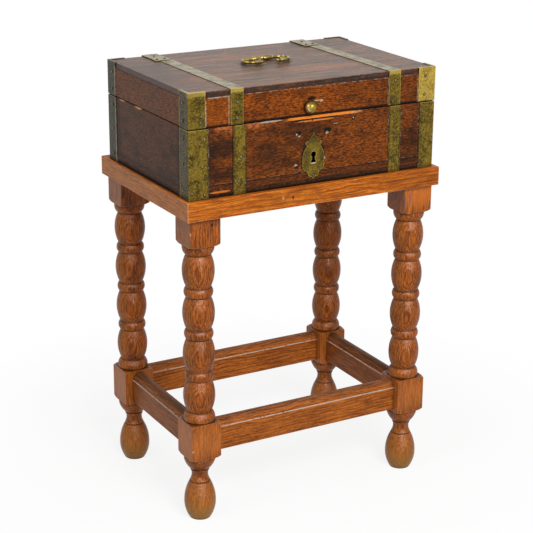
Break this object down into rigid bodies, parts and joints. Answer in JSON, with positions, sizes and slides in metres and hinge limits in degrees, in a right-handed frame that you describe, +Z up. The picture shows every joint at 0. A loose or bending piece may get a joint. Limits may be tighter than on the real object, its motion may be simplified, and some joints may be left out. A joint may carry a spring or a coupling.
{
  "type": "bible box on stand",
  "caption": "Oak bible box with brass corner mounts, straps and a bail handle, hinged lid and lock, on an oak stand with bobbin-turned legs and box stretchers.",
  "frame": {"origin": "on the floor under the middle of the stand's top frame", "axes": "+Z up, the front with the keyhole faces -Y, +X to the right seen from the front"},
  "size_m": [0.45, 0.3195, 0.7042],
  "materials": {
    "stand_oak": "waxed golden brown oak, worn arrises",
    "box_oak": "dark waxed oak, dry grey-brown top",
    "mount_brass": "old brass, dull with bright edges",
    "lock_iron": "wrought iron, dark"
  },
  "bodies": {
    "stand": {"frame_rail_front": "stand_oak", "frame_rail_back": "stand_oak", "frame_rail_left": "stand_oak", "frame_rail_right": "stand_oak", "frame_panel": "stand_oak", "leg_front_left": "stand_oak", "leg_front_right": "stand_oak", "leg_back_left": "stand_oak", "leg_back_right": "stand_oak", "stretcher_front": "stand_oak", "stretcher_back": "stand_oak", "stretcher_left": "stand_oak", "stretcher_right": "stand_oak"},
    "box": {"box_front": "box_oak", "box_back": "box_oak", "box_left": "box_oak", "box_right": "box_oak", "box_bottom": "box_oak", "base_corner_front_left": "mount_brass", "base_corner_front_right": "mount_brass", "base_corner_back_left": "mount_brass", "base_corner_back_right": "mount_brass", "base_strap_left": "mount_brass", "base_strap_right": "mount_brass", "escutcheon": "mount_brass", "hinge_base_left": "mount_brass", "hinge_base_right": "mount_brass", "hinge_pin_left": "mount_brass", "hinge_pin_right": "mount_brass", "lock_case": "lock_iron"},
    "lid": {"lid_top": "box_oak", "lid_front": "box_oak", "lid_back": "box_oak", "lid_left": "box_oak", "lid_right": "box_oak", "lid_corner_front_left": "mount_brass", "lid_corner_front_right": "mount_brass", "lid_corner_back_left": "mount_brass", "lid_corner_back_right": "mount_brass", "lid_strap_left": "mount_brass", "lid_strap_right": "mount_brass", "hinge_lid_left": "mount_brass", "hinge_lid_right": "mount_brass", "knob": "mount_brass", "knob_rove": "mount_brass", "handle_post_left": "mount_brass", "handle_post_right": "mount_brass", "handle_rove_left": "mount_brass", "handle_rove_right": "mount_brass", "lid_staple": "lock_iron"},
    "bail": {"bail": "mount_brass"},
    "lock_bolt": {"lock_bolt": "lock_iron"}
  },
  "joints": [
    {"name": "box_lift", "type": "slide", "parent": "stand", "child": "box", "axis": [0, 0, 1], "range_m": [0, 0.2]},
    {"name": "lid_hinge", "type": "hinge", "parent": "box", "child": "lid", "pos_m": [0, 0.143, 0.6406], "axis": [-1, 0, 0], "range_deg": [0, 180]},
    {"name": "bail_swing", "type": "hinge", "parent": "lid", "child": "bail", "pos_m": [0, -0.009, 0.7], "axis": [1, 0, 0], "range_deg": [0, 177.4]},
    {"name": "bolt_slide", "type": "slide", "parent": "box", "child": "lock_bolt", "axis": [1, 0, 0], "range_m": [0, 0.008]}
  ]
}
